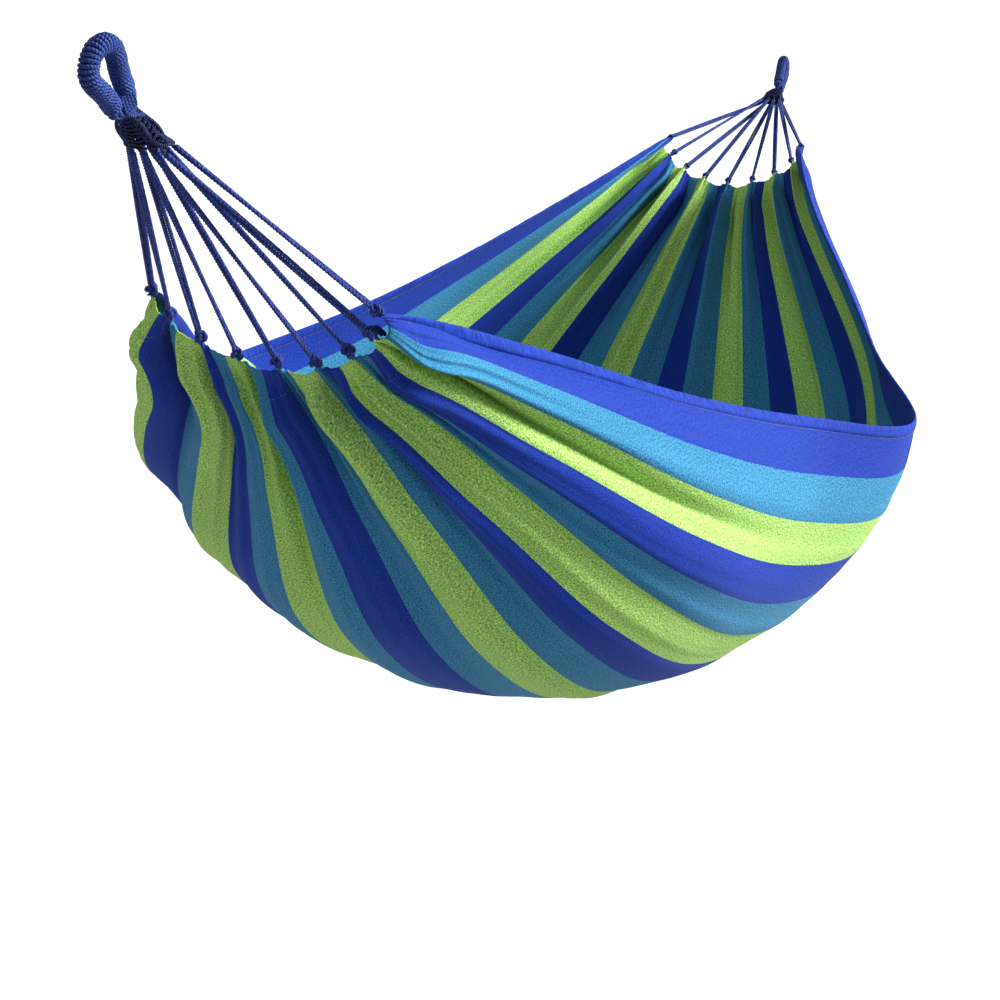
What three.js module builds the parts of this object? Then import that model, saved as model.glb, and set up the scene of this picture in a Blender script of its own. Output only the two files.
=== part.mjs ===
// Striped canvas hammock hung between two hooks by whipped rope eyes and fans of cords.
//
// Millimetres, +Z up. The origin is where the near hook bears on the inside of the near eye.
// +X runs along the hammock from the near eye to the far eye and +Y to the bed's far side,
// so the plane Y = 0 is the plane of symmetry.
import * as THREE from 'three';
import { ConvexGeometry } from 'three/addons/geometries/ConvexGeometry.js';

// ---- driving dimensions ---------------------------------------------------------------

const GAP = 0.3; // air kept between touching pieces

// The bed, described by five stations from the middle of its length (first) to the end hem.
const BED_HALF_LENGTH = 970; // middle of the bed to a corner, along X
const HEM_HALF_WIDTHS = [485, 390, 296, 190, 120]; // half the distance between the side hems
const HEM_DROPS = [455, 411, 347, 263, 199]; // side hems below the near throat
const BELLY_DEPTHS = [402, 402, 326, 206, 67]; // keel below the side hems
const KEEL_SHIFTS = [0, 42, 55, 9, -35]; // keel ahead of the hems, towards the end
const WALL_FULLNESS = [0.48, 0.8, 1.12, 1.1, 0.45]; // how far the walls bow out
const BASE_ROUNDING = [-0.2, -0.18, -0.13, -0.09, -0.2]; // below zero pulls the base to a V
const SLACK_BULGE = 52; // the near end's far corner hangs slack, and stands out by this much
const SLACK_FROM_HEM = 0.24; // its fullest part from the end hem, as a share of the half length
const SLACK_ACROSS = 0.78; // its middle across the bed, from 0 at the keel to 1 at the side hem
const SLACK_SPREAD = 0.26; // how far it fades across the bed
const SLACK_BACK = 0.3; // share of the bulge that goes back towards the near eye
const SLACK_OUT = 0.95; // share that goes out to the far side
const CANVAS = 3; // thickness of the canvas solid
const BED_STEPS_LONG = 40;
const BED_STEPS_ROUND = 24;

// Throats, where an eye's bundle turns into the fan of cords, from the middle of the bed.
const NEAR_THROAT_X = -1245;
const FAR_THROAT_X = 1305;
const FAR_THROAT_DROP = 131; // far throat below the near one

// Hanging eyes: a bundle of cords bent double and whipped all round.
const EYE_ELEVATION = Math.PI / 4; // slope of an eye away from the bed
const EYE_LENGTH = 82; // throat to the outside of the bend
const EYE_HALF_WIDTH = 17.5; // centreline of one leg from the middle of the eye
const LEG_HALF_WIDTH = 12; // the same half way up the legs
const NECK_HALF_WIDTH = 9.5; // the same at the foot of the legs
const NECK_LENGTH = 10; // throat to the foot of the legs
const WHIPPED_RADIUS = 9;
const BUNDLE_RADIUS = 6.2;
const NEAR_EYE_TURN = THREE.MathUtils.degToRad(-78); // eye turned about its own length
const FAR_EYE_TURN = THREE.MathUtils.degToRad(90);

// Clews: the interlaced stretch below each eye.
const CLEW_HEAD_RADIUS = 9; // round head that flexes under the eye
const CLEW_LENGTH = 50;
const CLEW_HALF_WIDTH = 25;
const CLEW_HALF_DEPTH = 8.5;

// Doubled cords from the clew to the end hem.
const CORD_COUNT = 9;
const CORD_RADIUS = 3.8;
const CORD_SIDES = 8;
const CORD_STEPS = 12;
const CORD_PITCH = 5.2; // side to side where the cords leave the clew
const CORD_STAGGER = 4.5; // every other cord leaves above or below the middle
const CORD_START_GAP = 1.8;
const KNOT_RADIUS = 8;
const KNOT_GAP = 4; // knot to the end hem

// ---- colours --------------------------------------------------------------------------

const ROPE_BLUE = 0x24409c;
const ROPE_DARK = 0x161f4d;
const CANVAS_BLUE = 0x2f7fa5;

function fabric(color) {
  return new THREE.MeshStandardMaterial({ color, roughness: 0.9, metalness: 0 });
}

// ---- the bed's shape ------------------------------------------------------------------

// A smooth even curve through the five stations, for u from -1 (near end) to 1 (far end).
function profile(stations) {
  const mirrored = [...stations.slice(1).reverse(), ...stations];
  const curve = new THREE.SplineCurve(mirrored.map((value, i) => new THREE.Vector2(i, value)));
  return (u) => curve.getPoint((u + 1) / 2).y;
}

const hemHalfWidth = profile(HEM_HALF_WIDTHS);
const hemDrop = profile(HEM_DROPS);
const bellyDepth = profile(BELLY_DEPTHS);
const keelShift = profile(KEEL_SHIFTS);
const wallFullness = profile(WALL_FULLNESS);
const baseRounding = profile(BASE_ROUNDING);

// How far the slack corner of the cloth stands out.
function slackBulge(u, v) {
  const fromHem = (1 + u) / SLACK_FROM_HEM;
  const fromMiddle = (v - SLACK_ACROSS) / SLACK_SPREAD;
  return SLACK_BULGE * fromHem * Math.exp((1 - fromHem ** 2) / 2 - fromMiddle ** 2);
}

// The middle surface of the canvas: u along the bed, v across it, both from -1 to 1.
// Lengths are taken from the middle of the bed at the height of the near throat.
function bedPoint(u, v) {
  const across = 1 - v * v;
  const sag = across * (1 + baseRounding(u) * v * v);
  const bulge = slackBulge(u, v);
  return new THREE.Vector3(
    BED_HALF_LENGTH * u + Math.sign(u) * keelShift(u) * across - SLACK_BACK * bulge,
    hemHalfWidth(u) * v * (1 + wallFullness(u) * across) + SLACK_OUT * bulge,
    -hemDrop(u) - bellyDepth(u) * sag,
  );
}

function bedNormal(u, v) {
  const step = 1e-3;
  const along = bedPoint(Math.min(u + step, 1), v).sub(bedPoint(Math.max(u - step, -1), v));
  const across = bedPoint(u, Math.min(v + step, 1)).sub(bedPoint(u, Math.max(v - step, -1)));
  return along.cross(across).normalize();
}

// A closed sheet of even thickness over a grid of the bed's surface.
function bedGeometry() {
  const columns = BED_STEPS_ROUND + 1;
  const rows = BED_STEPS_LONG + 1;
  const positions = [];
  for (const side of [0.5, -0.5]) {
    for (let i = 0; i < rows; i++) {
      for (let j = 0; j < columns; j++) {
        const u = (2 * i) / BED_STEPS_LONG - 1;
        const v = (2 * j) / BED_STEPS_ROUND - 1;
        const point = bedPoint(u, v).addScaledVector(bedNormal(u, v), side * CANVAS);
        positions.push(point.x, point.y, point.z);
      }
    }
  }
  const inner = (i, j) => i * columns + j;
  const outer = (i, j) => rows * columns + i * columns + j;
  const faces = [];
  const quad = (a, b, c, d) => faces.push(a, b, c, a, c, d);
  for (let i = 0; i < BED_STEPS_LONG; i++) {
    for (let j = 0; j < BED_STEPS_ROUND; j++) {
      quad(inner(i, j), inner(i + 1, j), inner(i + 1, j + 1), inner(i, j + 1));
      quad(outer(i, j), outer(i, j + 1), outer(i + 1, j + 1), outer(i + 1, j));
    }
    const last = BED_STEPS_ROUND;
    quad(inner(i, 0), outer(i, 0), outer(i + 1, 0), inner(i + 1, 0));
    quad(inner(i, last), inner(i + 1, last), outer(i + 1, last), outer(i, last));
  }
  for (let j = 0; j < BED_STEPS_ROUND; j++) {
    const last = BED_STEPS_LONG;
    quad(inner(0, j), inner(0, j + 1), outer(0, j + 1), outer(0, j));
    quad(inner(last, j), outer(last, j), outer(last, j + 1), inner(last, j + 1));
  }
  const geometry = new THREE.BufferGeometry();
  geometry.setAttribute('position', new THREE.Float32BufferAttribute(positions, 3));
  geometry.setIndex(faces);
  geometry.computeVertexNormals();
  return geometry;
}

// ---- tubes ----------------------------------------------------------------------------

function circle(radius, sides, Kind = THREE.Shape) {
  const outline = new Kind();
  for (let i = 0; i < sides; i++) {
    const angle = (2 * Math.PI * i) / sides;
    const corner = [radius * Math.cos(angle), radius * Math.sin(angle)];
    if (i === 0) outline.moveTo(...corner);
    else outline.lineTo(...corner);
  }
  outline.closePath();
  return outline;
}

function tube(section, path, steps) {
  return new THREE.ExtrudeGeometry(section, { extrudePath: path, steps, bevelEnabled: false });
}

// ---- one end of the hammock -----------------------------------------------------------

// `side` is -1 at the near end and 1 at the far end.
function makeEnd(name, side, throat, eyeTurn) {
  const end = new THREE.Group();
  const outward = new THREE.Vector3(side * Math.cos(EYE_ELEVATION), 0, Math.sin(EYE_ELEVATION));
  const level = new THREE.Vector3(0, 1, 0);
  const eyeSide = level.applyAxisAngle(outward, side * eyeTurn);

  const add = (part, geometry, color) => {
    const mesh = new THREE.Mesh(geometry, fabric(color));
    mesh.name = `${name}_${part}`;
    end.add(mesh);
  };

  // Centreline of the eye: up one leg, round a half circle and down the other.
  const eyePoint = (sideways, up) => throat.clone()
    .addScaledVector(outward, up)
    .addScaledVector(eyeSide, sideways);
  const bendCentre = EYE_LENGTH - WHIPPED_RADIUS - EYE_HALF_WIDTH;
  const legMiddle = (NECK_LENGTH + bendCentre) / 2;
  const legPoints = [
    [NECK_HALF_WIDTH, NECK_LENGTH],
    [LEG_HALF_WIDTH, legMiddle],
    [EYE_HALF_WIDTH, bendCentre],
  ];
  const bendPoints = [1, 2, 3].map((quarter) => [
    EYE_HALF_WIDTH * Math.cos((Math.PI * quarter) / 4),
    bendCentre + EYE_HALF_WIDTH * Math.sin((Math.PI * quarter) / 4),
  ]);
  const farLeg = legPoints.map(([sideways, up]) => [-sideways, up]).reverse();
  const eyePath = new THREE.CatmullRomCurve3(
    [...legPoints, ...bendPoints, ...farLeg].map(([sideways, up]) => eyePoint(sideways, up)),
  );
  const whipping = circle(WHIPPED_RADIUS, 12);
  whipping.holes.push(circle(BUNDLE_RADIUS + GAP, 12, THREE.Path));
  add('eye_whipping', tube(whipping, eyePath, 32), ROPE_BLUE);
  add('eye_core', tube(circle(BUNDLE_RADIUS, 8), eyePath, 32), ROPE_DARK);

  // Hem points where the cords are tied, and the line of pull through them.
  const hemPoint = (i) => bedPoint(side, (2 * i) / (CORD_COUNT - 1) - 1);
  const middleOfHem = new THREE.Vector3();
  for (let i = 0; i < CORD_COUNT; i++) {
    middleOfHem.addScaledVector(hemPoint(i), 1 / CORD_COUNT);
  }
  const pull = middleOfHem.sub(throat).normalize();
  const across = new THREE.Vector3(0, 1, 0);
  const above = new THREE.Vector3().crossVectors(pull, across).normalize();

  // Clew: a round head on the throat that spreads to a flat oval foot.
  const head = new THREE.SphereGeometry(CLEW_HEAD_RADIUS, 12, 8).attributes.position;
  const clewPoints = [];
  for (let i = 0; i < head.count; i++) {
    clewPoints.push(new THREE.Vector3().fromBufferAttribute(head, i).add(throat));
  }
  const foot = throat.clone().addScaledVector(pull, CLEW_LENGTH);
  for (let i = 0; i < 16; i++) {
    const angle = (Math.PI * i) / 8;
    clewPoints.push(foot.clone()
      .addScaledVector(across, CLEW_HALF_WIDTH * Math.cos(angle))
      .addScaledVector(above, CLEW_HALF_DEPTH * Math.sin(angle)));
  }
  add('clew', new ConvexGeometry(clewPoints), ROPE_DARK);

  // Cords and the knots that tie them to the hem, counted from the bed's near side.
  for (let i = 0; i < CORD_COUNT; i++) {
    const stagger = i % 2 === 0 ? CORD_STAGGER : -CORD_STAGGER;
    const start = foot.clone()
      .addScaledVector(pull, CORD_START_GAP)
      .addScaledVector(across, (i - (CORD_COUNT - 1) / 2) * CORD_PITCH)
      .addScaledVector(above, stagger);
    const hem = hemPoint(i);
    const run = hem.clone().sub(start).normalize();
    const knot = hem.clone().addScaledVector(run, -(KNOT_RADIUS + KNOT_GAP));
    const finish = knot.clone().addScaledVector(run, -(KNOT_RADIUS + GAP));
    const line = new THREE.LineCurve3(start, finish);
    add(`cord_${i + 1}`, tube(circle(CORD_RADIUS, CORD_SIDES), line, CORD_STEPS), ROPE_BLUE);
    const ball = new THREE.SphereGeometry(KNOT_RADIUS, 10, 6);
    ball.translate(knot.x, knot.y, knot.z);
    add(`knot_${i + 1}`, ball, ROPE_BLUE);
  }
  return end;
}

// ---- assembly -------------------------------------------------------------------------

const nearThroat = new THREE.Vector3(NEAR_THROAT_X, 0, 0);
const farThroat = new THREE.Vector3(FAR_THROAT_X, 0, -FAR_THROAT_DROP);

const bed = new THREE.Mesh(bedGeometry(), fabric(CANVAS_BLUE));
bed.name = 'bed_canvas';

const hammock = new THREE.Group();
hammock.add(bed);
hammock.add(makeEnd('near', -1, nearThroat, NEAR_EYE_TURN));
hammock.add(makeEnd('far', 1, farThroat, FAR_EYE_TURN));

// Bring the near hook's bearing point to the origin.
const hookRun = EYE_LENGTH - 2 * WHIPPED_RADIUS;
hammock.position.set(
  -NEAR_THROAT_X + hookRun * Math.cos(EYE_ELEVATION),
  0,
  -hookRun * Math.sin(EYE_ELEVATION),
);

export default hammock;
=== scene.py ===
import math

import bmesh
import bpy
import numpy as np
from mathutils import Matrix, Vector


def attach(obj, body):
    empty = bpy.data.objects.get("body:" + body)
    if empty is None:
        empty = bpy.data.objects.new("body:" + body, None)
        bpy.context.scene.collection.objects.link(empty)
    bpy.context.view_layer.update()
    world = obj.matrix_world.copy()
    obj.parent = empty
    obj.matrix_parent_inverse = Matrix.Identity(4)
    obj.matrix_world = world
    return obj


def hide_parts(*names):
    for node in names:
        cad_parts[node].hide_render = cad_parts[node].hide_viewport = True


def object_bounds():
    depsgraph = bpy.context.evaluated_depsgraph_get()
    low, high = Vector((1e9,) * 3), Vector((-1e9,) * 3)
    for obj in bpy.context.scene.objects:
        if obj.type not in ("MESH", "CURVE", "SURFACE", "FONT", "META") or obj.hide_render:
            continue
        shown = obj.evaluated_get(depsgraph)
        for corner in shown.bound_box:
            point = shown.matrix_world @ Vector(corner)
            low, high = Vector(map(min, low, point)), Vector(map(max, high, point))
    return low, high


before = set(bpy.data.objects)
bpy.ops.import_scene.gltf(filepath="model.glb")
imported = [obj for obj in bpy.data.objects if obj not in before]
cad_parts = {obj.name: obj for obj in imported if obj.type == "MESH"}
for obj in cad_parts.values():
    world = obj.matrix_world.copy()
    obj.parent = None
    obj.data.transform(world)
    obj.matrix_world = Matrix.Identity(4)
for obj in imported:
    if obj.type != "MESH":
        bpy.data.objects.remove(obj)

START_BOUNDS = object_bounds()
SEED = 11

# ---- driving dimensions, the same as the part's ---------------------------------------

BED_HALF_LENGTH = 0.970
HEM_HALF_WIDTHS = (0.485, 0.390, 0.296, 0.190, 0.120)
HEM_DROPS = (0.455, 0.411, 0.347, 0.263, 0.199)
BELLY_DEPTHS = (0.402, 0.402, 0.326, 0.206, 0.067)
KEEL_SHIFTS = (0, 0.042, 0.055, 0.009, -0.035)
WALL_FULLNESS = (0.48, 0.8, 1.12, 1.1, 0.45)
BASE_ROUNDING = (-0.2, -0.18, -0.13, -0.09, -0.2)
SLACK_BULGE = 0.052
SLACK_FROM_HEM = 0.24
SLACK_ACROSS = 0.78
SLACK_SPREAD = 0.26
SLACK_BACK = 0.3
SLACK_OUT = 0.95
NEAR_THROAT_X = -1.245
FAR_THROAT_X = 1.305
FAR_THROAT_DROP = 0.131

EYE_ELEVATION = math.pi / 4
EYE_LENGTH = 0.082
EYE_HALF_WIDTH = 0.0175
LEG_HALF_WIDTH = 0.012
NECK_HALF_WIDTH = 0.0095
NECK_LENGTH = 0.010
WHIPPED_RADIUS = 0.009
NEAR_EYE_TURN = math.radians(-78)
FAR_EYE_TURN = math.radians(90)

CLEW_LENGTH = 0.050
CORD_COUNT = 9
CORD_PITCH = 0.0052
CORD_STAGGER = 0.0045
CORD_START_GAP = 0.0018
CORD_DIAMETER = 0.0076
STRAND_RADIUS = CORD_DIAMETER / 4
KNOT_RADIUS = 0.008
KNOT_GAP = 0.004
GAP = 0.0003
BARE_NECK = 0.007  # of each leg, left without whipping above the clew

CLOTH_WIDTH = 1.4
CLOTH_LENGTH = 2.2
CLOTH_THICKNESS = 0.0014
END_HEM_DEPTH = 0.05

HOOK_RUN = EYE_LENGTH - 2 * WHIPPED_RADIUS
BED_MIDDLE = np.array([
    -NEAR_THROAT_X + HOOK_RUN * math.cos(EYE_ELEVATION), 0,
    -HOOK_RUN * math.sin(EYE_ELEVATION),
])
Y = np.array([0.0, 1.0, 0.0])


# ---- camera ---------------------------------------------------------------------------

CAMERA_FROM_MIDDLE = (-2.8911, -0.8826, 0.1624)
CAMERA_YAW = 0.3221
CAMERA_PITCH = -0.2535
CAMERA_ROLL = 0.0374
SENSOR_WIDTH = 36
LENS_TO_SENSOR = 2.2368


def make_camera():
    """Looks along the hammock from beside and above the near eye, down at the bed."""
    place = Vector(BED_MIDDLE) + Vector(CAMERA_FROM_MIDDLE)
    yaw, pitch, roll = CAMERA_YAW, CAMERA_PITCH, CAMERA_ROLL
    ahead = Vector((math.cos(pitch) * math.cos(yaw), math.cos(pitch) * math.sin(yaw),
                    math.sin(pitch)))
    level_right = Vector((math.sin(yaw), -math.cos(yaw), 0))
    level_up = level_right.cross(ahead)
    right = math.cos(roll) * level_right + math.sin(roll) * level_up
    up = math.cos(roll) * level_up - math.sin(roll) * level_right
    data = bpy.data.cameras.new("camera")
    data.sensor_width = SENSOR_WIDTH
    data.lens = SENSOR_WIDTH * LENS_TO_SENSOR
    camera = bpy.data.objects.new("camera", data)
    turn = Matrix((right, up, -ahead)).transposed().to_4x4()
    camera.matrix_world = Matrix.Translation(place) @ turn
    bpy.context.collection.objects.link(camera)
    bpy.context.scene.camera = camera


make_camera()


# ---- numbers and curves ---------------------------------------------------------------

def unit(vector):
    return vector / np.linalg.norm(vector, axis=-1, keepdims=True)


def smooth(x):
    """0 below 0, 1 above 1, with an S between."""
    x = np.clip(x, 0, 1)
    return x * x * (3 - 2 * x)


def through(points, counts):
    """A smooth line of `counts` points through the given points."""
    points = np.asarray(points, float)
    padded = np.vstack([2 * points[0] - points[1], points, 2 * points[-1] - points[-2]])
    at = np.linspace(0, len(points) - 1, counts)
    k = np.minimum(at.astype(int), len(points) - 2)
    w = (at - k)[:, None]
    p0, p1, p2, p3 = (padded[k + n] for n in range(4))
    return 0.5 * (2 * p1 + (p2 - p0) * w + (2 * p0 - 5 * p1 + 4 * p2 - p3) * w ** 2
                  + (3 * p1 - 3 * p2 + p3 - p0) * w ** 3)


def even(line, spacing):
    """The same line with points `spacing` apart."""
    steps = np.linalg.norm(np.diff(line, axis=0), axis=1)
    run = np.concatenate([[0], np.cumsum(steps)])
    count = max(int(round(run[-1] / spacing)), 2) + 1
    at = np.linspace(0, run[-1], count)
    return np.stack([np.interp(at, run, line[:, n]) for n in range(3)], axis=1)


def frames(line):
    """Tangents and two sideways directions that don't twist along the line."""
    ahead = unit(np.gradient(line, axis=0))
    start = np.cross(ahead[0], [0.31, 0.17, 0.93])
    one = [start / np.linalg.norm(start)]
    for direction in ahead[1:]:
        last = one[-1] - direction * np.dot(one[-1], direction)
        one.append(last / np.linalg.norm(last))
    one = np.array(one)
    return ahead, one, np.cross(ahead, one)


def run_along(line):
    steps = np.linalg.norm(np.diff(line, axis=0), axis=1)
    return np.concatenate([[0], np.cumsum(steps)])


# ---- meshes ---------------------------------------------------------------------------

def mesh_object(name, points, faces, material, body, uv, layer_name="Cloth"):
    """One smooth-shaded piece that rides on a body. uv holds a pair for each point."""
    mesh = bpy.data.meshes.new(name)
    mesh.from_pydata(points.tolist(), [], faces)
    mesh.polygons.foreach_set("use_smooth", [True] * len(mesh.polygons))
    corners = np.zeros(len(mesh.loops), int)
    mesh.loops.foreach_get("vertex_index", corners)
    layer = mesh.uv_layers.new(name=layer_name)
    layer.data.foreach_set("uv", uv[corners].ravel())
    mesh.materials.append(material)
    mesh.update()
    piece = bpy.data.objects.new(name, mesh)
    bpy.context.collection.objects.link(piece)
    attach(piece, body)
    return piece


def grid_faces(rows, columns, closed):
    """Quads of a grid of points; closed joins the last column to the first."""
    wide = columns if closed else columns - 1
    i, j = np.meshgrid(np.arange(rows - 1), np.arange(wide), indexing="ij")
    k = (j + 1) % columns
    return np.stack([i * columns + j, i * columns + k, (i + 1) * columns + k,
                     (i + 1) * columns + j], axis=-1).reshape(-1, 4)


class Heap:
    """Collects tubes into one mesh. The uv of a point is its run along and its turn round."""

    def __init__(self):
        self.points, self.faces, self.uv, self.count = [], [], [], 0

    def tube(self, line, radius, sides=10, plies=0, pitch=1.0, depth=0.14, start=0.0):
        """A round-ended tube; with plies its section has that many lobes, twisted round."""
        line = np.asarray(line, float)
        ahead, one, two = frames(line)
        run = run_along(line)
        radius = np.broadcast_to(radius, len(line)).astype(float)
        ends = np.minimum(run, run[-1] - run) / radius.mean()
        radius = radius * np.sqrt(np.clip(1 - (1 - np.clip(ends, 0, 1)) ** 2, 0.02, 1))
        turn = np.linspace(0, 2 * math.pi, sides, endpoint=False)[None, :]
        lobes = 1 - depth * 0.5 + depth * 0.5 * np.cos(
            plies * (turn - 2 * math.pi * (run[:, None] + start) / pitch)) if plies else 1.0
        reach = radius[:, None] * lobes * np.ones_like(turn)
        ring = (line[:, None, :] + (reach * np.cos(turn))[..., None] * one[:, None, :]
                + (reach * np.sin(turn))[..., None] * two[:, None, :])
        self._add(ring.reshape(-1, 3), grid_faces(len(line), sides, True),
                  np.stack([np.repeat(run, sides), np.tile(turn[0], len(line))], axis=1))
        for row, flip in ((0, True), (len(line) - 1, False)):
            base = self.count - len(line) * sides + row * sides
            loop = list(range(base, base + sides))
            self.faces.append(np.array([loop[::-1] if flip else loop], dtype=object))

    def _add(self, points, faces, uv):
        self.points.append(points)
        self.faces.append(faces + self.count)
        self.uv.append(uv)
        self.count += len(points)

    def piece(self, name, material, body, slot):
        faces = [list(map(int, face)) for block in self.faces for face in block]
        return mesh_object(name, np.concatenate(self.points), faces, material, body,
                           np.concatenate(self.uv), "Run")


# ---- materials ------------------------------------------------------------------------

class Nodes:
    """Builds one Principled material, node by node."""

    def __init__(self, name):
        self.material = bpy.data.materials.new(name)
        self.material.use_nodes = True
        self.tree = self.material.node_tree
        self.shader = self.tree.nodes["Principled BSDF"]

    def new(self, kind, **settings):
        node = self.tree.nodes.new(kind)
        for key, value in settings.items():
            setattr(node, key, value)
        return node

    def link(self, source, target):
        if isinstance(source, (int, float, tuple)):
            target.default_value = source
        else:
            self.tree.links.new(source, target)

    def maths(self, operation, *values):
        node = self.new("ShaderNodeMath", operation=operation)
        for value, socket in zip(values, node.inputs):
            self.link(value, socket)
        return node.outputs[0]

    def noise(self, vector, scale, detail=2.0):
        node = self.new("ShaderNodeTexNoise")
        self.link(vector, node.inputs["Vector"])
        node.inputs["Scale"].default_value = scale
        node.inputs["Detail"].default_value = detail
        return node.outputs["Fac"]

    def stretched(self, vector, scale):
        node = self.new("ShaderNodeMapping")
        self.link(vector, node.inputs["Vector"])
        node.inputs["Scale"].default_value = scale
        return node.outputs["Vector"]

    def range(self, value, low, high, to_low, to_high):
        node = self.new("ShaderNodeMapRange")
        self.link(value, node.inputs["Value"])
        for number, socket in zip((low, high, to_low, to_high), node.inputs[1:5]):
            socket.default_value = number
        return node.outputs["Result"]

    def mix(self, amount, one, two, blend="MIX"):
        node = self.new("ShaderNodeMix", data_type="RGBA", blend_type=blend)
        self.link(amount, node.inputs["Factor"])
        self.link(one, node.inputs["A"])
        self.link(two, node.inputs["B"])
        return node.outputs["Result"]

    def ramp(self, value, stops, constant=False):
        node = self.new("ShaderNodeValToRGB")
        self.link(value, node.inputs["Fac"])
        ramp = node.color_ramp
        if constant:
            ramp.interpolation = "CONSTANT"
        while len(ramp.elements) > 1:
            ramp.elements.remove(ramp.elements[-1])
        for n, (at, color) in enumerate(stops):
            element = ramp.elements[0] if n == 0 else ramp.elements.new(at)
            element.position = at
            element.color = color
        return node.outputs["Color"]

    def grey(self, value):
        node = self.new("ShaderNodeCombineColor")
        for socket in node.inputs[:3]:
            self.link(value, socket)
        return node.outputs[0]

    def finish(self, color, roughness, height, distance, sheen=0.04, strength=0.6):
        self.link(color, self.shader.inputs["Base Color"])
        self.link(roughness, self.shader.inputs["Roughness"])
        bump = self.new("ShaderNodeBump")
        bump.inputs["Strength"].default_value = strength
        bump.inputs["Distance"].default_value = distance
        self.link(height, bump.inputs["Height"])
        self.link(bump.outputs["Normal"], self.shader.inputs["Normal"])
        self.shader.inputs["Sheen Weight"].default_value = sheen
        self.shader.inputs["Sheen Roughness"].default_value = 0.45
        self.shader.inputs["Specular IOR Level"].default_value = 0.25
        return self.material


def srgb(red, green, blue):
    """A linear colour from 0 to 255 display values."""
    def linear(c):
        c = c / 255
        return c / 12.92 if c < 0.04045 else ((c + 0.055) / 1.055) ** 2.4
    return (linear(red), linear(green), linear(blue), 1.0)


BLUE = srgb(22, 56, 146)
TEAL = srgb(54, 124, 158)
LIME = srgb(158, 196, 106)
ROPE = srgb(40, 66, 156)
# The second rope colour is painted shade for the grooves between the plies, and it also darkens
# random patches.
ROPE_GROOVE_SHADE_AND_MOTTLE = srgb(14, 20, 58)
STRIPE_COLORS = {"B": BLUE, "T": TEAL, "G": LIME}
STRIPES = "BTGBTGBTGTBTGTBGTBGTB"
YARN_PITCH = 0.0016


def canvas_material(name):
    """Striped cotton: heathered yarns along and across, with slubs and a fine weave."""
    m = Nodes(name)
    uv = m.new("ShaderNodeUVMap", uv_map="Cloth").outputs["UV"]
    split = m.new("ShaderNodeSeparateXYZ")
    m.link(uv, split.inputs[0])
    along, across = split.outputs["X"], split.outputs["Y"]
    warp = m.noise(m.stretched(uv, (260, 560, 1)), 1.0, 1)
    weft = m.noise(m.stretched(uv, (520, 300, 1)), 1.0, 1)
    cloud = m.noise(m.stretched(uv, (6, 14, 1)), 1.0, 3)
    share = m.maths("DIVIDE", across, CLOTH_WIDTH)
    wobble = m.range(m.noise(m.stretched(uv, (260, 30, 1)), 1.0), 0.3, 0.7, -3e-4, 3e-4)
    stops = [(n / len(STRIPES), STRIPE_COLORS[c]) for n, c in enumerate(STRIPES)]
    base = m.ramp(m.maths("ADD", share, wobble), stops, constant=True)
    pale = m.mix(1.0, base, (1.9, 1.75, 1.7, 1), "MULTIPLY")
    deep = m.mix(1.0, base, (0.38, 0.42, 0.55, 1), "MULTIPLY")
    color = m.mix(m.range(warp, 0.46, 0.66, 0, 0.9), base, pale)
    color = m.mix(m.range(weft, 0.54, 0.36, 0, 0.9), color, deep)
    color = m.mix(m.range(cloud, 0.35, 0.65, 0, 0.14), color, deep)
    yarn = 2 * math.pi / YARN_PITCH
    threads = m.maths("ADD", m.maths("SINE", m.maths("MULTIPLY", along, yarn)),
                      m.maths("SINE", m.maths("MULTIPLY", across, yarn)))
    height = m.maths("ADD", m.maths("MULTIPLY", threads, 0.2),
                     m.maths("ADD", warp, m.maths("MULTIPLY", weft, 0.8)))
    return m.finish(color, m.range(warp, 0.3, 0.7, 0.78, 0.95), height, 0.0006)


def rope_material(name, color, groove_shade_and_mottle, twist=0.0042):
    """Spun cord: slanting fibres, with painted shade darkening the grooves, and pale worn flecks.
    """
    m = Nodes(name)
    uv = m.new("ShaderNodeUVMap", uv_map="Run").outputs["UV"]
    split = m.new("ShaderNodeSeparateXYZ")
    m.link(uv, split.inputs[0])
    along, turn = split.outputs["X"], split.outputs["Y"]
    slant = m.maths("SUBTRACT", m.maths("MULTIPLY", along, 2 * math.pi / twist), turn)
    lay = m.maths("SINE", m.maths("MULTIPLY", slant, 2.0))
    place = m.new("ShaderNodeTexCoord").outputs["Object"]
    fibre = m.noise(place, 900, 3)
    cloud = m.noise(place, 60, 3)
    # Painted shade: the rope's second, darker colour is laid into the grooves of the lay.
    base = m.mix(m.range(lay, -1, 0.6, 0.85, 0), color, groove_shade_and_mottle)
    base = m.mix(m.range(fibre, 0.54, 0.75, 0, 0.5), base, m.mix(0.35, color, (1, 1, 1, 1)))
    base = m.mix(m.range(cloud, 0.35, 0.7, 0, 0.35), base, groove_shade_and_mottle)
    height = m.maths("ADD", lay, m.maths("MULTIPLY", fibre, 1.5))
    return m.finish(base, m.range(fibre, 0.3, 0.7, 0.6, 0.85), height, 0.0005, sheen=0.03,
                    strength=0.8)


CANVAS = canvas_material("canvas")
# Each rope's second colour is painted shade in its grooves, and it also gives random darker
# patches.
ROPE_CORD = rope_material("fan_rope", ROPE, ROPE_GROOVE_SHADE_AND_MOTTLE, 0.011)
ROPE_EYE = rope_material("eye_rope", srgb(52, 82, 160), srgb(22, 32, 82), 0.005)
ROPE_CLEW = rope_material("clew_rope", srgb(28, 42, 104), srgb(8, 10, 28))
THREAD = rope_material("stitch_thread", srgb(170, 185, 190), srgb(90, 100, 120), 0.001)


# ---- the bed's plain shape ------------------------------------------------------------

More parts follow.
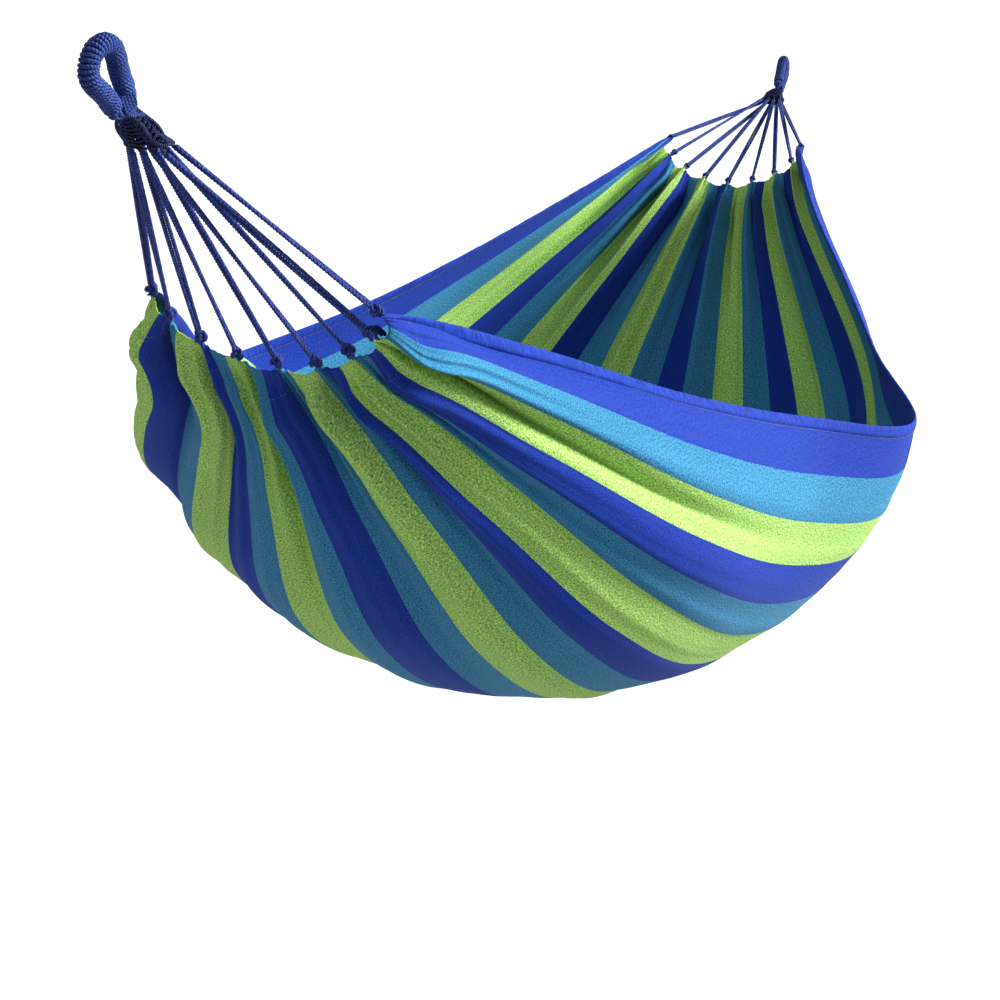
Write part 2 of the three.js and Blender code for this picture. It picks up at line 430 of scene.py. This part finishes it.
def profile(stations):
    """An even smooth curve through the stations, mirrored about the middle of the bed."""
    mirrored = np.array(stations[:0:-1] + stations, float)
    last = len(mirrored) - 1

    def value(u):
        at = (np.asarray(u, float) + 1) / 2 * last
        k = np.clip(np.floor(at).astype(int), 0, last - 1)
        w = at - k
        p0, p1, p2, p3 = (mirrored[np.clip(k + n, 0, last)] for n in (-1, 0, 1, 2))
        rise, fall = (p2 - p0) / 2, (p3 - p1) / 2
        return ((2 * p1 - 2 * p2 + rise + fall) * w ** 3
                + (-3 * p1 + 3 * p2 - 2 * rise - fall) * w ** 2 + rise * w + p1)
    return value


hem_half_width = profile(HEM_HALF_WIDTHS)
hem_drop = profile(HEM_DROPS)
belly_depth = profile(BELLY_DEPTHS)
keel_shift = profile(KEEL_SHIFTS)
wall_fullness = profile(WALL_FULLNESS)
base_rounding = profile(BASE_ROUNDING)


def bed_point(u, v):
    """The middle surface of the canvas, as in the part's own solid."""
    u, v = np.broadcast_arrays(np.asarray(u, float), np.asarray(v, float))
    across = 1 - v * v
    from_hem = (1 + u) / SLACK_FROM_HEM
    from_middle = (v - SLACK_ACROSS) / SLACK_SPREAD
    bulge = SLACK_BULGE * from_hem * np.exp((1 - from_hem ** 2) / 2 - from_middle ** 2)
    sag = across * (1 + base_rounding(u) * v * v)
    x = BED_HALF_LENGTH * u + np.sign(u) * keel_shift(u) * across - SLACK_BACK * bulge
    y = hem_half_width(u) * v * (1 + wall_fullness(u) * across) + SLACK_OUT * bulge
    z = -hem_drop(u) - belly_depth(u) * sag
    return np.stack([x, y, z], axis=-1) + BED_MIDDLE


# ---- one end: eye, clew, cords and knots ----------------------------------------------

class End:
    """The points that one end is built on. side is -1 at the near end, 1 at the far end."""

    def __init__(self, name, side, throat, eye_turn):
        self.name, self.side = name, side
        self.throat = np.array(throat) + BED_MIDDLE
        self.outward = np.array([side * math.cos(EYE_ELEVATION), 0, math.sin(EYE_ELEVATION)])
        turn = Matrix.Rotation(side * eye_turn, 3, Vector(self.outward))
        self.eye_side = np.array(turn @ Vector(Y))
        self.eye_front = np.cross(self.outward, self.eye_side)
        self.hems = [bed_point(side, 2 * i / (CORD_COUNT - 1) - 1) for i in range(CORD_COUNT)]
        self.pull = unit(np.mean(self.hems, axis=0) - self.throat)
        self.above = unit(np.cross(self.pull, Y))
        self.foot = self.throat + self.pull * CLEW_LENGTH
        self.starts, self.runs, self.knots, self.finishes = [], [], [], []
        for i, hem in enumerate(self.hems):
            stagger = CORD_STAGGER if i % 2 == 0 else -CORD_STAGGER
            start = (self.foot + self.pull * CORD_START_GAP
                     + Y * (i - (CORD_COUNT - 1) / 2) * CORD_PITCH + self.above * stagger)
            run = unit(hem - start)
            knot = hem - run * (KNOT_RADIUS + KNOT_GAP)
            self.starts.append(start)
            self.runs.append(run)
            self.knots.append(knot)
            self.finishes.append(knot - run * (KNOT_RADIUS + GAP))

    def eye_line(self, spacing):
        """Centreline of the eye: up one leg, round the bend and down the other."""
        bend = EYE_LENGTH - WHIPPED_RADIUS - EYE_HALF_WIDTH
        leg = [(NECK_HALF_WIDTH, NECK_LENGTH), (LEG_HALF_WIDTH,
               (NECK_LENGTH + bend) / 2), (EYE_HALF_WIDTH, bend)]
        turns = [math.pi * k / 4 for k in (1, 2, 3)]
        top = [(EYE_HALF_WIDTH * math.cos(t), bend + EYE_HALF_WIDTH * math.sin(t))
               for t in turns]
        down = [(-sideways, up) for sideways, up in reversed(leg)]
        points = [self.throat + self.eye_side * sideways + self.outward * up
                  for sideways, up in leg + top + down]
        return even(through(points, 200), spacing)


near = End("near", -1, (NEAR_THROAT_X, 0, 0), NEAR_EYE_TURN)
far = End("far", 1, (FAR_THROAT_X, 0, -FAR_THROAT_DROP), FAR_EYE_TURN)


# ---- cords ----------------------------------------------------------------------------

def facing(line, one, two):
    """The turn that lays a cord's two strands side by side in the plane of the fan."""
    run = unit(line[-1] - line[0])
    wide = Y - run * np.dot(Y, run)
    return math.atan2(float(np.dot(wide, two[0])), float(np.dot(wide, one[0])))


def make_cords(end):
    """Each doubled cord: two laid strands side by side, turned slowly round each other."""
    dice = np.random.default_rng(SEED + end.side)
    for i in range(CORD_COUNT):
        line = even(np.array([end.starts[i], end.finishes[i]]), 0.0013)
        run = run_along(line)
        ahead, one, two = frames(line)
        twist = dice.uniform(-0.25, 0.25) * 2 * math.pi * run / run[-1] + facing(line, one, two)
        apart = STRAND_RADIUS * (0.86 + 0.22 * np.sin(math.pi * run / run[-1]) ** 2)
        out = np.cos(twist)[:, None] * one + np.sin(twist)[:, None] * two
        heap = Heap()
        for sign in (-1, 1):
            heap.tube(line + sign * apart[:, None] * out, STRAND_RADIUS * 1.2, 10, plies=3,
                      pitch=0.013, depth=0.36, start=dice.uniform(0, 0.01))
        piece = heap.piece(f"{end.name}_fan_cord_{i + 1}", ROPE_CORD, "swinging_bed", "fan_cord")
        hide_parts(f"{end.name}_cord_{i + 1}")


make_cords(near)
make_cords(far)


# ---- eyes -----------------------------------------------------------------------------

def make_eye(end):
    """Whipping turns wound side by side round the bundle."""
    line = end.eye_line(0.0005)
    run = run_along(line)
    ahead, one, two = frames(line)
    pitch, cord = 0.0035, 0.0021
    reach = WHIPPED_RADIUS - cord * 0.9
    count = int(run[-1] / pitch * 26)
    at = np.linspace(BARE_NECK, run[-1] - BARE_NECK, count)
    turn = 2 * math.pi * at / pitch
    def along(values):
        return np.stack([np.interp(at, run, values[:, n]) for n in range(3)], axis=1)
    wobble = 1 + 0.018 * np.sin(at * 530) + 0.014 * np.sin(at * 1210 + 2)
    coil = along(line) + reach * wobble[:, None] * (
        np.cos(turn)[:, None] * along(one) + np.sin(turn)[:, None] * along(two))
    heap = Heap()
    heap.tube(coil, cord, 8, plies=3, pitch=0.008, depth=0.12)
    piece = heap.piece(f"{end.name}_whipping", ROPE_EYE, "hanging_eyes", "whipping_cord")
    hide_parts(f"{end.name}_eye_whipping")


def make_neck(end):
    """Strands of the bundle: through the whole eye, then crossed where its legs meet."""
    line = end.eye_line(0.004)
    ahead, one, two = frames(line)
    heap = Heap()
    for n in range(7):
        turn = 2 * math.pi * n / 6 + np.arange(len(line)) * 0.12
        reach = 0.0045 if n < 6 else 0.0
        strand = line + reach * (np.cos(turn)[:, None] * one + np.sin(turn)[:, None] * two)
        heap.tube(strand, 0.0025, 8, plies=3, pitch=0.011)
    for leg, sign in ((0, 1), (-1, -1)):
        for n in range(8):
            turn = 2 * math.pi * n / 8 + 0.3
            foot = line[leg] + 0.0055 * (math.cos(turn) * one[leg] + math.sin(turn) * two[leg])
            low = (end.throat - end.outward * 0.005 + Y * 0.0065 * math.cos(turn)
                   + end.above * 0.0060 * math.sin(turn) - sign * end.eye_side * 0.0015)
            middle = (foot + low) / 2 + sign * end.eye_front * 0.0025
            rise = foot + end.outward * 0.006
            heap.tube(even(through([rise, foot, middle, low], 20), 0.0008), 0.0023, 8,
                      plies=3, pitch=0.010)
    for n in range(5):
        side = (n - 2) * 0.0031
        top = line[-1] + end.outward * 0.010 + end.eye_side * side
        over = end.throat + end.outward * 0.008 + end.eye_front * 0.0085 + end.eye_side * side
        foot = end.throat + end.pull * 0.010 + end.above * 0.0055 - Y * (0.004 + side)
        heap.tube(even(through([top, over, foot], 24), 0.0008), 0.0020, 8, plies=3,
                  pitch=0.009)
    piece = heap.piece(f"{end.name}_bundle", ROPE_EYE, "hanging_eyes", "bundle_cord")
    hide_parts(f"{end.name}_eye_core")


# ---- clews ----------------------------------------------------------------------------

def clew_width(t):
    """Half the clew's width, t from 0 at the throat to 1 at its foot."""
    return 0.0080 + 0.0150 * t


def clew_depth(t):
    return 0.0078 - 0.0005 * t


def make_clew(end):
    """Three layers of strands, coloured darker than the fan cords, bound by two laces that slant
    opposite ways.
    """
    dice = np.random.default_rng(SEED + 5 + end.side)
    heap = Heap()
    t = np.linspace(-0.05, 1.03, 60)[:, None]
    spine = end.throat + end.pull * CLEW_LENGTH * t
    into_cord = smooth((t - 0.72) / 0.28)
    for i in range(CORD_COUNT):
        final = (i - (CORD_COUNT - 1) / 2) / ((CORD_COUNT - 1) / 2)
        stagger = CORD_STAGGER if i % 2 == 0 else -CORD_STAGGER
        for layer in (-1, 0, 1):
            crossing = 0.16 * np.sin(math.pi * 2 * t + i + 2 * layer) * (1 - into_cord)
            height = (layer * clew_depth(t) * 0.66 * (1 - into_cord) + stagger * into_cord
                      + layer * 0.0012 * into_cord)
            strand = spine + Y * clew_width(t) * (final * 0.92 + crossing) + end.above * height
            heap.tube(even(strand, 0.001), 0.0019, 8, plies=3, pitch=0.009, depth=0.22,
                      start=dice.uniform(0, 0.01))
    for lean in (-1, 1):
        turns = 9
        at = np.linspace(0.02, 0.90, turns * 48)[:, None]
        turn = lean * 2 * math.pi * turns * at + 0.5
        bob = 0.0005 * np.cos(turn * 8)
        lace = (end.throat + end.pull * CLEW_LENGTH * (at + 0.05 * np.sin(turn))
                + Y * clew_width(at) * np.sin(turn)
                + end.above * (clew_depth(at) + bob + 0.0004 * lean) * np.cos(turn))
        heap.tube(even(lace, 0.0009), 0.0011, 6, plies=2, pitch=0.005, depth=0.25)
    piece = heap.piece(f"{end.name}_clew_lacing", ROPE_CLEW, "swinging_bed", "bundle_cord")
    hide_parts(f"{end.name}_clew")


# ---- knots ----------------------------------------------------------------------------

def make_knots(end):
    """An overhand knot in each doubled cord, tied through the end hem."""
    dice = np.random.default_rng(SEED + 9 + end.side)
    for i in range(CORD_COUNT):
        run, centre = end.runs[i], end.knots[i]
        side = unit(np.cross(run, end.above))
        front = np.cross(side, run)
        tilt = dice.uniform(0, 2 * math.pi)
        a = math.cos(tilt) * side + math.sin(tilt) * front
        b = np.cross(run, a)
        s = np.linspace(0, 2 * math.pi, 90)[:, None]
        size = 0.0019 if end.side < 0 else 0.0014
        heap = Heap()
        for shift in (-0.5, 0.5):
            loop = centre + size * (
                a * (np.sin(s) + 2 * np.sin(2 * s)) * (0.92 + 0.16 * shift)
                + b * (np.cos(s) - 2 * np.cos(2 * s)) * (0.92 + 0.16 * shift)
                - run * (1.5 * np.sin(3 * s) - shift * 1.9))
            heap.tube(even(loop, 0.0009), 0.0021, 8, plies=3, pitch=0.010, depth=0.22)
        for sign in (-1, 1):
            stem = [centre - run * 0.0105 + sign * a * 0.0019, centre + sign * b * 0.0028,
                    centre + run * 0.012 - sign * a * 0.0022]
            heap.tube(even(through(stem, 30), 0.0009), 0.0021, 8, plies=3, pitch=0.010)
        if end.side < 0 and i == 1:
            hang = [centre + front * 0.004, centre + front * 0.009 + run * 0.004,
                    centre + front * 0.010 + run * 0.012, centre + front * 0.009 + run * 0.021]
            for sign in (-1, 1):
                heap.tube(even(through([p + sign * side * 0.002 for p in hang], 30), 0.0009),
                          0.0022, 8, plies=3, pitch=0.010)
        piece = heap.piece(f"{end.name}_hem_knot_{i + 1}", ROPE_CORD, "swinging_bed",
                           "knot_cord")
        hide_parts(f"{end.name}_knot_{i + 1}")


# ---- the cloth ------------------------------------------------------------------------

ROWS = 301
COLUMNS = 481
PLEATS = CORD_COUNT - 1
# How each end hem is gathered: a pale stripe lies open and takes this many times the hem of a
# dark one, and the last stripes are tucked in behind the last knot.
PALE_OPEN = 1.7
TUCKED_SHARE = 0.15
NEAR_TUCKED = 2
FAR_TUCKED = 1
SLACK_SHIFT = 0.18  # how far the cloth has slid towards the keel over the slack corner
FOLD_DEPTH = 0.046
FOLD_REACH = 0.44
# Smaller folds on top of the pleats: how many to a pleat, how deep and how far they run.
RIBS = ((2, 0.0085, 0.60), (3, 0.0090, 0.45), (5, 0.0066, 0.40),
        (8, 0.0040, 0.34), (13, 0.0018, 0.26))
GATHER_REACH = 0.34  # how far from the end hem the gathering still crowds the stripes
HEM_PLY = 0.0007
TUFT_DEPTH = 0.0026
DROOP_DEPTH = 0.006
PEAK_HEIGHT = 0.010
SIDE_HEM_DEPTH = 0.0075
SIDE_HEM_HALF = 0.0027
SIDE_HEM_SIDES = 16
STITCH_LENGTH = 0.0026
STITCH_GAP = 0.0018
STITCH_RADIUS = 0.00042
STITCH_LIFT = 0.0009


def cloth_rows():
    """u for each row of the cloth's grid, closer together towards the end hems."""
    t = np.linspace(-1, 1, ROWS)
    return 0.32 * t + 0.68 * np.sin(math.pi / 2 * t)


def count_pleats(stripe, tucked):
    """Pleats from the near side hem: whole at a knot, one more for each pleat."""
    shares = np.array([PALE_OPEN if color == "G" else 1.0 for color in STRIPES])
    shares[len(STRIPES) - tucked:] = TUCKED_SHARE
    edges = np.concatenate(([0.0], np.cumsum(shares))) * PLEATS / shares.sum()
    return np.interp(stripe, np.arange(len(edges)), edges)


def folds(end, cell, gone):
    """How far the cloth stands out, in folds that run from the end hem towards the middle."""
    dice = np.random.default_rng(SEED + end)
    size, reach, skew = (dice.uniform(low, high, PLEATS + 2)
                         for low, high in ((0.75, 1.15), (0.7, 1.25), (-0.05, 0.2)))
    number = np.clip(np.floor(cell).astype(int), -1, PLEATS) + 1
    part = cell - np.floor(cell)
    part = part + skew[number] * np.sin(math.pi * part) ** 2
    crest = (np.sin(math.pi * part) ** 2 + 0.002) ** 0.5
    edge = np.minimum(part, 1 - part)
    share = size[number] * smooth(edge / 0.2) + (1 - smooth(edge / 0.2)) * 0.95
    fade = np.exp(-gone / (FOLD_REACH * (reach[number] * smooth(edge / 0.2)
                                         + 1 - smooth(edge / 0.2))))
    rise = smooth((gone + 0.02) / 0.12) * crest
    sink = smooth(gone / 0.22) * 0.45
    calm_middle = 1 - smooth((gone - 0.40) / 0.60)
    main = FOLD_DEPTH * share * fade * calm_middle * (rise - sink)
    ribs = 0
    for waves, strength, length in RIBS:
        phase, drift = dice.uniform(0, 2 * math.pi), dice.uniform(0.4, 0.9)
        swing = phase + drift * np.sin(cell * 1.3 + phase)
        angle = math.pi * waves * cell + swing + 0.5 * np.sin(gone * 7 + phase)
        ridge = 1 - 2 * np.abs(np.sin(angle / 2))
        ribs = ribs + strength * (0.5 * np.sin(angle) + 0.5 * ridge) * np.exp(-gone / length)
    calm = 0.0012 * np.sin(cell * 2.1 + 3 * gone) * np.exp(-gone / 1.4)
    return main + ribs * smooth((gone + 0.015) / 0.10) + calm


def cloth_grid():
    """Where each point of the cloth lies, and its place on the flat cloth."""
    u, v = np.meshgrid(cloth_rows(), np.linspace(-1, 1, COLUMNS), indexing="ij")
    stripe = (v + 1) / 2 * len(STRIPES)
    far_end = u > 0
    gone = (1 - np.abs(u)) * CLOTH_LENGTH / 2
    cell = np.where(far_end, count_pleats(stripe, FAR_TUCKED),
                    count_pleats(stripe, NEAR_TUCKED))
    pinned = np.exp(-(gone / GATHER_REACH) ** 1.3)
    from_knot = cell - np.clip(np.round(cell), 0, PLEATS)
    pinch = 0.80 * np.exp(-(from_knot / 0.20) ** 2) * np.exp(-gone / 0.045)
    squeezed = cell - from_knot * pinch
    place = v * (1 - pinned) + (squeezed / PLEATS * 2 - 1) * pinned
    slid = np.where(far_end, 0, smooth(gone / 0.22) * np.exp(-(gone / 0.45) ** 2))
    weight = smooth((place - 0.1) / 0.65) * smooth((1 - place) / 0.14)
    place = place - SLACK_SHIFT * slid * weight

    base = bed_point(u, place)
    step = 1e-3
    along = bed_point(np.minimum(u + step, 1), place) - bed_point(
        np.maximum(u - step, -1), place)
    across = bed_point(u, np.minimum(place + step, 1)) - bed_point(
        u, np.maximum(place - step, -1))
    outward = unit(np.cross(across, along))
    across = unit(across)
    to_knot = unit(along) * np.sign(u)[..., None]

    flat_edge = smooth((1 - np.abs(v)) / np.where(far_end, 0.24, 0.07))
    standing = np.where(far_end, folds(1, cell, gone), folds(0, cell, gone))
    tuft = (np.exp(-(from_knot / 0.24) ** 2) * np.exp(-gone / 0.06)
            * np.cos(2 * math.pi * from_knot * 7) * TUFT_DEPTH)
    hem_ply = HEM_PLY * (1 - smooth((gone - END_HEM_DEPTH) / 0.004))
    lift = standing * flat_edge + tuft + hem_ply

    crown = np.abs(np.sin(math.pi * cell))
    lean = -np.tanh(3 * v) * crown * 0.28 * FOLD_DEPTH * np.exp(-gone / 0.4) * smooth(
        gone / 0.06) * flat_edge
    droop = -DROOP_DEPTH * crown ** 2 * np.exp(-gone / 0.06)
    peak = PEAK_HEIGHT * np.exp(-(from_knot / 0.13) ** 2) * np.exp(-gone / 0.025)
    points = (base + outward * lift[..., None] + across * lean[..., None]
              + to_knot * (droop + peak)[..., None])
    flat = np.stack([(u + 1) / 2 * CLOTH_LENGTH, (v + 1) / 2 * CLOTH_WIDTH], axis=-1)
    return points, flat


def make_bed():
    """The striped cloth itself; also gives its points, which the trim follows."""
    points, flat = cloth_grid()
    bed = mesh_object("bed_cloth", points.reshape(-1, 3), grid_faces(ROWS, COLUMNS, False).tolist(),
                      CANVAS, "swinging_bed", flat.reshape(-1, 2))
    thick = bed.modifiers.new("thickness", "SOLIDIFY")
    thick.thickness = CLOTH_THICKNESS
    thick.offset = 0
    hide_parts("bed_canvas")
    return bed, points


def make_side_hems(points):
    """The side edges, rolled over twice and sewn."""
    hems = []
    for column, name in ((0, "near"), (-1, "far")):
        line = points[:, column]
        inner = points[:, 3 if column == 0 else -4]
        run = run_along(line)
        down = unit(inner - line)
        ahead = unit(np.gradient(line, axis=0))
        out = unit(np.cross(ahead, down))
        turn = np.linspace(0, 2 * math.pi, SIDE_HEM_SIDES, endpoint=False)
        depth, half = SIDE_HEM_DEPTH, SIDE_HEM_HALF
        taper = np.clip(np.minimum(run, run[-1] - run) / 0.02, 0.25, 1)
        ripple = 1 + 0.12 * np.sin(run * 95) + 0.08 * np.sin(run * 211 + 1)
        ring = (line[:, None] + down[:, None] * (depth * 0.75 + depth * np.cos(turn)[None, :]
                * np.ones_like(run)[:, None])[..., None]
                + out[:, None] * (half * (taper * ripple)[:, None] * np.sin(turn))[..., None])
        flat = np.stack([np.repeat(run, SIDE_HEM_SIDES),
                         np.tile(0.004 * turn / math.pi, len(run))], 1)
        hems.append(mesh_object(f"side_hem_{name}", ring.reshape(-1, 3),
                                grid_faces(len(line), SIDE_HEM_SIDES, True).tolist(),
                                CANVAS, "swinging_bed", flat))
    return hems


def stitches(name, line, out):
    """A row of short raised stitches along a line on the cloth."""
    run = run_along(line)
    heap = Heap()
    pitch = STITCH_LENGTH + STITCH_GAP
    for n in range(int(run[-1] / pitch)):
        at = np.linspace(0, STITCH_LENGTH, 4) + n * pitch
        place = np.stack([np.interp(at, run, line[:, k]) for k in range(3)], 1)
        lift = np.stack([np.interp(at, run, out[:, k]) for k in range(3)], 1)
        heap.tube(place + lift * STITCH_LIFT, STITCH_RADIUS, 5)
    return heap.piece(name, THREAD, "swinging_bed", "striped_canvas")


def make_stitching(points):
    """Rows of stitches along the two end hems and inside the side hems."""
    made = []
    along = np.gradient(points, axis=0)
    across = np.gradient(points, axis=1)
    out = unit(np.cross(across, along))
    gone = (1 - np.abs(cloth_rows())) * CLOTH_LENGTH / 2
    half = ROWS // 2
    for name, rows in (("near", range(half)), ("far", range(half, ROWS))):
        row = min(rows, key=lambda k: abs(gone[k] - END_HEM_DEPTH * 0.92))
        for face, sign in (("out", 1), ("in", -1)):
            made.append(stitches(f"{name}_end_hem_stitches_{face}", points[row],
                                 sign * out[row]))
    for name, column in (("near", 5), ("far", -6)):
        for face, sign in (("out", 1), ("in", -1)):
            made.append(stitches(f"{name}_side_hem_stitches_{face}", points[:, column],
                                 sign * out[:, column]))
    return made


for end in (near, far):
    make_eye(end)
    make_neck(end)
    make_clew(end)
    make_knots(end)

bed, cloth_points = make_bed()
trim = make_side_hems(cloth_points) + make_stitching(cloth_points)


# ---- floor and light ------------------------------------------------------------------

FLOOR_SHADE = 0.74
FLOOR_REACH = 120
FLOOR_CLEARANCE = 0.9
BACKDROP_REACH = 100
BACKDROP_GLOW = 1.5
KEY_POWER = 6.4
KEY_SPREAD = 24
KEY_FROM = (0.42, -0.84, 0.40)
ROOM_LIGHT = 0.55


def make_floor():
    """A plain pale floor that runs past the horizon of every view."""
    m = Nodes("floor")
    place = m.new("ShaderNodeTexCoord").outputs["Object"]
    speckle = m.range(m.noise(place, 3, 2), 0.3, 0.7, FLOOR_SHADE - 0.01, FLOOR_SHADE + 0.01)
    m.link(m.grey(speckle), m.shader.inputs["Base Color"])
    m.shader.inputs["Roughness"].default_value = 0.9
    m.shader.inputs["Specular IOR Level"].default_value = 0.1
    level = START_BOUNDS[0][2] - FLOOR_CLEARANCE
    corners = [(-1, -1), (1, -1), (1, 1), (-1, 1)]
    mesh = bpy.data.meshes.new("floor")
    mesh.from_pydata([(x * FLOOR_REACH, y * FLOOR_REACH, level) for x, y in corners], [],
                     [(0, 1, 2, 3)])
    mesh.materials.append(m.material)
    floor = bpy.data.objects.new("floor", mesh)
    bpy.context.collection.objects.link(floor)
    floor.visible_diffuse = False


def make_backdrop():
    """A white dome far off, seen only by the camera, so that no view shows a horizon."""
    m = Nodes("backdrop")
    m.shader.inputs["Base Color"].default_value = (0, 0, 0, 1)
    m.shader.inputs["Specular IOR Level"].default_value = 0
    m.shader.inputs["Emission Color"].default_value = (1, 1, 1, 1)
    m.shader.inputs["Emission Strength"].default_value = BACKDROP_GLOW
    mesh = bpy.data.meshes.new("backdrop")
    shape = bmesh.new()
    bmesh.ops.create_uvsphere(shape, u_segments=32, v_segments=16, radius=BACKDROP_REACH)
    shape.to_mesh(mesh)
    shape.free()
    mesh.materials.append(m.material)
    dome = bpy.data.objects.new("backdrop", mesh)
    bpy.context.collection.objects.link(dome)
    dome.visible_diffuse = False
    dome.visible_glossy = False
    dome.visible_shadow = False


def make_light():
    """One broad soft key from the near side, high up, and a pale room round it."""
    data = bpy.data.lights.new("key", "SUN")
    data.energy = KEY_POWER
    data.angle = math.radians(KEY_SPREAD)
    key = bpy.data.objects.new("key", data)
    key.rotation_mode = "QUATERNION"
    key.rotation_quaternion = (-Vector(KEY_FROM)).to_track_quat("-Z", "Y")
    bpy.context.collection.objects.link(key)
    world = bpy.data.worlds.new("room")
    world.use_nodes = True
    sky = world.node_tree.nodes["Background"]
    sky.inputs["Color"].default_value = (1, 1, 1, 1)
    sky.inputs["Strength"].default_value = ROOM_LIGHT
    bpy.context.scene.world = world
    view = bpy.context.scene.view_settings
    view.view_transform = "Standard"
    view.look = "Medium High Contrast"


make_floor()
make_backdrop()
make_light()
